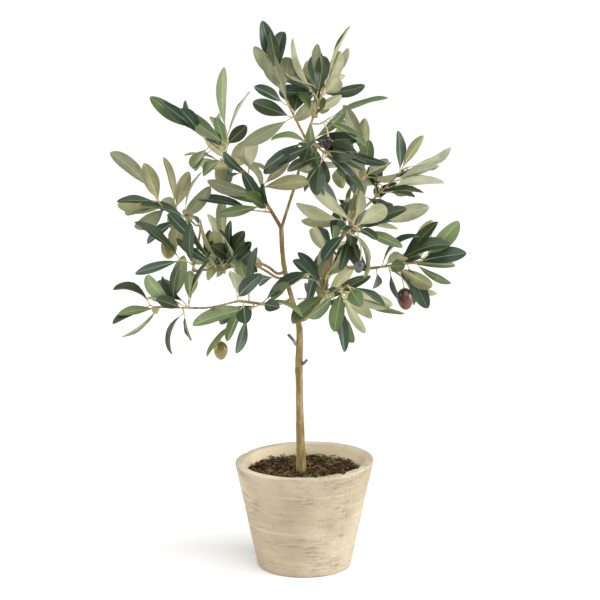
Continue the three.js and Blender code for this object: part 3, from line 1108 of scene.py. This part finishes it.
def add_olive(piece, crown, start, centre, size, rng):
    """An egg-shaped fruit with a small point, hanging from a curved stem."""
    leaning = Vector((rng.uniform(-OLIVE_TILT, OLIVE_TILT), rng.uniform(-OLIVE_TILT, OLIVE_TILT), 1.0))
    tilt = leaning.normalized()
    half = OLIVE_LENGTH * size / 2
    line = [centre - tilt * half * math.cos(math.pi * k / OLIVE_ROWS) for k in range(OLIVE_ROWS + 1)]
    seed = rng.uniform(0, 90)

    def radius_at(share, angle):
        across = (line[min(OLIVE_ROWS, round(share * OLIVE_ROWS))] - centre).dot(tilt) / half
        egg = math.sqrt(max(0.0, 1 - across * across)) * (1 + OLIVE_EGG * across)
        dent = OLIVE_DENT * noise_round(angle, 1.0, across * 1.6 + seed)
        return max(OLIVE_POINT, OLIVE_WIDTH * size / 2 * egg * (1 + dent))

    sweep(piece, line, radius_at, OLIVE_SIDES)
    top = centre + tilt * half
    crown.grow_stem(start, top + tilt * 0.5, OLIVE_STEM_LEAD + top - start, OLIVE_STEM_RADII, -tilt)
    cap = smooth_line([top + tilt * along for along in CAP_ENDS], CAP_STEP)
    sweep(crown.wood, cap, taper(*(radius * size for radius in CAP_RADII)), CAP_SIDES)


def add_olives(crown):
    """Olives that hang from the nearest twig above them."""
    rng = random.Random(SEED + 1)
    skins = {name: Piece() for name in SKINS}
    for mass, right, below, depth, size, skin in OLIVES:
        centre = hub(mass) + Vector((right, depth, -below))
        top = centre + Vector((0, 0, OLIVE_LENGTH * size / 2))
        above = [point for point in crown.stems if point.z > top.z + SHORTEST_OLIVE_STEM]
        add_olive(skins[skin], crown, nearest(above, top), centre, size, rng)
    for name, piece in skins.items():
        piece.build(f"olives_{name}", [olive_skin(f"olive_{name}", *SKINS[name])], "leaf", [])


# ---------------------------------------------------------------- pot
POT_SLOPE = 11.35  # lean of the wall, in degrees
INSIDE_BELOW_FILL = 12.0
WALL_RINGS = 84
EDGE_RINGS = 6
INNER_EDGE_RINGS = 5
LIP_RINGS = (0.33, 0.66, 1.0)
FOOT_BEVEL = (0.8, 0.9)  # the middle of the foot's edge: in from the wall, and up
INNER_RINGS = 22
SMOOTH_FOOT = 2.0  # the wall is even below this height, so that the pot stands flat


def pot_profile():
    """Radius and height from under the foot up the outside to the lip, and from there down inside."""
    rim, top = round_size(*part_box("pot"))
    slope = math.tan(math.radians(POT_SLOPE))
    foot = rim - top * slope
    inner_rim = rim - POT_WALL
    inside = round_size(*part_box("soil"))[1] - INSIDE_BELOW_FILL
    inner_low = inner_rim - (top - inside) * slope
    wall = [
        (foot + (rim - foot) * t, POT_FOOT_EDGE + (top - POT_EDGE - POT_FOOT_EDGE) * t)
        for t in np.linspace(0, 1, WALL_RINGS)
    ]
    edge = [
        (rim - POT_EDGE * (1 - math.cos(a)), top - POT_EDGE + POT_EDGE * math.sin(a))
        for a in np.linspace(0, math.pi / 2, EDGE_RINGS)[1:]
    ]
    lip = [(rim - POT_EDGE - (POT_WALL - 2 * POT_EDGE) * t, top) for t in LIP_RINGS]
    inner_edge = [
        (inner_rim + POT_EDGE * (1 - math.sin(a)), top - POT_EDGE + POT_EDGE * math.cos(a))
        for a in np.linspace(0, math.pi / 2, INNER_EDGE_RINGS)[1:]
    ]
    inner = [
        (inner_rim + (inner_low - inner_rim) * t, top - POT_EDGE + (inside - top + POT_EDGE) * t)
        for t in np.linspace(0, 1, INNER_RINGS)[1:]
    ]
    bevel_in, bevel_up = FOOT_BEVEL
    under = [(0.0, 0.0), (foot * 0.5, 0.0), (foot - POT_FOOT_EDGE, 0.0), (foot - bevel_in, bevel_up)]
    return under + wall + edge + lip, inner_edge + inner + [(0.0, inside)]


# Each chip in the lip: its angle round the pot, its half width in degrees and its depth.
LIP_CHIPS = ((-52.0, 3.2, 2.2), (-80.0, 1.6, 0.9), (-72.0, 1.2, 0.8), (-30.0, 4.5, 1.2), (150.0, 2.5, 1.0))
CHIPS_BEGIN = 0.93  # share of the pot's height above which the chips show


def lip_height(angle, top_share):
    """How far the lip rises or is chipped away, full at the top and nothing low down."""
    uneven = noise_round(angle, 2, 4.0)
    tilt = LIP_TILT * math.cos(angle) + LIP_UNEVENNESS * uneven
    chips = 0.0
    for at, half_width, depth in LIP_CHIPS:
        off = math.remainder(angle - math.radians(at), 2 * math.pi) / math.radians(half_width)
        chips += depth * math.exp(-off * off)
    return tilt * top_share**2 - chips * max(0.0, (top_share - CHIPS_BEGIN) / (1 - CHIPS_BEGIN))


# Two raised hairline seams run down the wall, side by side: the angle of each round the pot.
SEAMS = (-50.0, -46.5)
SEAM_HALF_WIDTH = 0.9
SEAM_RISE = 0.75
SEAM_WANDER = 1.6
# Each layer of roughness in the wall: its depth, and how finely it varies round the pot and up it.
POT_LAYERS = ((0.7, 1.3, 0.012), (0.26, 1.6, 0.42), (0.22, 30.0, 0.5))
POT_PITS = (2.2, 20.0, 0.3)
PITS_ABOVE = 0.42


def seam_relief(angle, height):
    """The seams' height, each wandering a little on its way down."""
    rise = 0.0
    for number, at in enumerate(SEAMS):
        wander = math.radians(SEAM_WANDER) * noise.noise(Vector((height * 0.07, number * 5.0, 2.0)))
        off = math.remainder(angle - math.radians(at) - wander, 2 * math.pi)
        rise += SEAM_RISE * math.exp(-((off / math.radians(SEAM_HALF_WIDTH)) ** 2))
    return rise


def pot_relief(angle, height):
    """Hand-made wobble, brushed rings, grain, seams and pits in the wall."""
    rough = sum(depth * noise_round(angle, reach, height * pace) for depth, reach, pace in POT_LAYERS)
    depth, reach, pace = POT_PITS
    pit = depth * max(0.0, noise_round(angle, reach, height * pace) - PITS_ABOVE)
    return rough - pit + seam_relief(angle, height)


def add_pot():
    piece = Piece()
    top = round_size(*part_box("pot"))[1]
    outside, inside = pot_profile()
    rings = []
    for index, (radius, height) in enumerate(outside + inside):
        if radius == 0.0:
            rings.append([piece.vertex((0.0, 0.0, height))])
            continue
        share = min(1.0, height / top)
        up = share if index < len(outside) else 2.0 - share
        ring = []
        for s, angle in enumerate(angles_round(POT_STEPS_ROUND)):
            r = radius
            z = height
            if height > SMOOTH_FOOT:
                r += pot_relief(angle, height)
                z += lip_height(angle, share)
            ring.append(piece.vertex(round_point(angle, r, z), (s / POT_STEPS_ROUND, up)))
        rings.append(ring)
    for lower, upper in zip(rings, rings[1:]):
        piece.band(lower, upper)
    piece.build("pot_wall", [stone_wash()], "pot", ["pot"], crease=40.0)


# ---------------------------------------------------------------- soil and moss
SOIL_RISE = 1.6
LUMPS = 4.4
CRUMBS = 2.8


def soil_height(x, y):
    """Lumps in the fill, in millimetres above its level."""
    return SOIL_RISE + LUMPS * noise_over(x, y, 0.09, 3.0) + CRUMBS * noise_over(x, y, 0.3, 9.0)


SOIL_RINGS = 44
SOIL_SIDES = 150
SOIL_EDGE_DROP = 2.0
SOIL_DEPTH = 8.0  # how far down the visible fill is closed
SOIL_SKIRT = 0.97  # radius down there, as a share of the radius above
SOIL_OVERLAP = 0.6  # how far the fill reaches past the edge of its solid


def add_soil():
    piece = Piece()
    fill_radius, level = round_size(*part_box("soil"))
    radius = fill_radius + SOIL_OVERLAP
    turns = angles_round(SOIL_SIDES)
    rows = []
    for r in range(1, SOIL_RINGS + 1):
        reach = radius * r / SOIL_RINGS
        drop = SOIL_EDGE_DROP * (r / SOIL_RINGS) ** 8
        spots = [(reach * math.cos(angle), reach * math.sin(angle)) for angle in turns]
        rows.append([piece.vertex((x, y, level + soil_height(x, y) - drop)) for x, y in spots])
    skirt = [piece.vertex(round_point(a, radius * SOIL_SKIRT, level - SOIL_DEPTH)) for a in turns]
    rows.append(skirt)
    centre = piece.vertex((0, 0, level + soil_height(0, 0)))
    for s in range(SOIL_SIDES):
        t = (s + 1) % SOIL_SIDES
        piece.face((centre, rows[0][s], rows[0][t]))
        for inner, outer in zip(rows, rows[1:]):
            piece.face((inner[s], outer[s], outer[t], inner[t]))
    piece.face(tuple(reversed(skirt)))
    piece.build("soil_fill", [peat()], "soil", ["soil"], crease=60.0)


MOSS_TONES = {
    "brown": (0.095, 0.056, 0.022),
    "black": (0.020, 0.012, 0.008),
    "olive": (0.120, 0.105, 0.028),
    "green": (0.200, 0.190, 0.060),
    "purple": (0.070, 0.026, 0.022),
    "straw": (0.250, 0.180, 0.080),
}
MOSS_WEIGHTS = (42, 20, 10, 3, 14, 11)
MOSS_SHREDS = 2900
MOSS_INSET = 3.5  # how far inside the edge of that solid the shreds start
GREEN_ABOVE = 0.30  # patches of the fill in which green shreds are common, and those of purple ones
GREEN_CHANCE = 0.5
PURPLE_BELOW = -0.25
PURPLE_CHANCE = 0.45
SHRED_LENGTHS = (2.5, 8.0)
SHRED_WIDTHS = (0.5, 2.6)
SHRED_SLOPES = (-0.2, 0.4)
SHRED_LEAN = 0.5
SHRED_CURL = 1.2
SHRED_RISES = (-0.8, 1.4)
SHRED_ROWS = 4


def add_shred(piece, x, y, level, rng):
    """A curled flake or strand of dried moss, a few faces long."""
    length = rng.uniform(*SHRED_LENGTHS)
    width = rng.uniform(*SHRED_WIDTHS)
    turn = rng.uniform(0, 2 * math.pi)
    heading = Vector((math.cos(turn), math.sin(turn), rng.uniform(*SHRED_SLOPES))).normalized()
    leaning = Vector((rng.uniform(-SHRED_LEAN, SHRED_LEAN), rng.uniform(-SHRED_LEAN, SHRED_LEAN), 1.0))
    side = heading.cross(leaning).normalized()
    up = side.cross(heading)
    curl = rng.uniform(-SHRED_CURL, SHRED_CURL)
    start = Vector((x, y, level + soil_height(x, y) + rng.uniform(*SHRED_RISES)))
    rows = []
    for k in range(SHRED_ROWS):
        share = k / (SHRED_ROWS - 1)
        bent = up * math.sin(math.pi * share) + side * 0.6 * share
        middle = start + heading * length * share + bent * curl
        half = side * width * (1 - 0.75 * abs(2 * share - 0.8)) * 0.5
        lift = up * width * 0.3
        rows.append([piece.vertex(middle - half), piece.vertex(middle + lift), piece.vertex(middle + half)])
    for lower, upper in zip(rows, rows[1:]):
        piece.face((lower[0], lower[1], upper[1], upper[0]))
        piece.face((lower[1], lower[2], upper[2], upper[1]))
        piece.face((lower[2], lower[0], upper[0], upper[2]))
    piece.face(tuple(rows[0]))
    piece.face(tuple(reversed(rows[-1])))


def add_moss():
    rng = random.Random(SEED + 2)
    fill_radius, level = round_size(*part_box("soil"))
    reach = fill_radius - MOSS_INSET
    pieces = {tone: Piece() for tone in MOSS_TONES}
    names = list(MOSS_TONES)
    for _ in range(MOSS_SHREDS):
        out = reach * math.sqrt(rng.random())
        angle = rng.uniform(0, 2 * math.pi)
        x, y = out * math.cos(angle), out * math.sin(angle)
        patch = noise_over(x, y, 0.05, 21.0)
        tone = rng.choices(names, MOSS_WEIGHTS)[0]
        if patch > GREEN_ABOVE and rng.random() < GREEN_CHANCE:
            tone = rng.choice(("green", "olive"))
        if patch < PURPLE_BELOW and rng.random() < PURPLE_CHANCE:
            tone = "purple"
        add_shred(pieces[tone], x, y, level, rng)
    for tone, piece in pieces.items():
        piece.build(f"moss_{tone}", [moss(f"moss_{tone}", MOSS_TONES[tone])], "soil", [])


# ---------------------------------------------------------------- stage
FLOOR_REACH = 30.0  # in metres


def add_stage():
    floor = bpy.data.meshes.new("floor")
    reach = FLOOR_REACH
    corners = [(-reach, -reach, 0), (reach, -reach, 0), (reach, reach, 0), (-reach, reach, 0)]
    floor.from_pydata(corners, [], [(0, 1, 2, 3)])
    floor.materials.append(plain_floor())
    ground = put_in_scene("floor", floor)
    world = bpy.data.worlds.new("studio")
    bpy.context.scene.world = world
    world.use_nodes = True
    background = world.node_tree.nodes["Background"]
    background.inputs["Color"].default_value = (1.0, 1.0, 1.0, 1.0)
    background.inputs["Strength"].default_value = SURROUND
    bpy.context.scene.view_settings.view_transform = "Standard"


# Each soft box: where it stands, its size and its power in watts.
SOFT_BOXES = {
    "right": ((2.1, -0.4, 0.9), 1.2, 39.0),
    "left": ((-2.1, -0.2, 0.9), 1.2, 21.0),
}
SURROUND = 0.55
SKYLIGHT = 1.78
SKYLIGHT_SPREAD = math.radians(60)
SKYLIGHT_TILT = (math.radians(28), math.radians(14), 0.0)


def add_lights():
    for name, (place, size, power) in SOFT_BOXES.items():
        data = bpy.data.lights.new(name, "AREA")
        data.size = size
        data.energy = power
        lamp = put_in_scene(name, data)
        lamp.location = place
        aim = SIGHT_AIM * MM - Vector(place)
        lamp.rotation_euler = aim.to_track_quat("-Z", "Y").to_euler()
    data = bpy.data.lights.new("overhead", "SUN")
    data.energy = SKYLIGHT
    data.angle = SKYLIGHT_SPREAD
    lamp = put_in_scene("overhead", data)
    lamp.rotation_euler = SKYLIGHT_TILT


def add_camera():
    data = bpy.data.cameras.new("camera")
    data.sensor_width = SENSOR_WIDTH
    data.lens = SENSOR_WIDTH * LENS_TO_SENSOR
    camera = put_in_scene("camera", data)
    back = Vector((0, -math.cos(SIGHT_PITCH), math.sin(SIGHT_PITCH))) * SIGHT_DISTANCE
    camera.location = (SIGHT_AIM + back) * MM
    camera.rotation_euler = (math.pi / 2 - SIGHT_PITCH, 0.0, 0.0)
    bpy.context.scene.camera = camera


# ---------------------------------------------------------------- assembly
def add_wood():
    piece = Piece()
    trunk = add_trunk(piece)
    lines = add_boughs(piece, trunk)
    add_stubs(piece, trunk)
    trunk_bark = bark("trunk_bark", (0.11, 0.070, 0.022), (0.25, 0.172, 0.066), (0.44, 0.335, 0.165))
    cut_face = bark("cut_face", (0.07, 0.08, 0.07), (0.13, 0.15, 0.14), (0.22, 0.24, 0.22))
    piece.build("trunk_and_boughs", [trunk_bark, cut_face], "bark", ["trunk", *BOUGHS, *STUBS])
    return lines


def add_crown(lines):
    crown = Crown()
    tips = {bough: ends[1] for bough, ends in BOUGHS.items()}
    for bough, tip in tips.items():
        if tip in SPRAY_KINDS:
            crown.grow_mass(tip, lines[bough])
    for bough, tip in tips.items():
        if lines[bough][-1].y > BACK_BEGINS:
            crown.grow_along(tip, lines[bough])
    add_olives(crown)
    crown.build()


add_camera()
add_stage()
add_lights()
add_pot()
add_soil()
add_moss()
add_crown(add_wood())
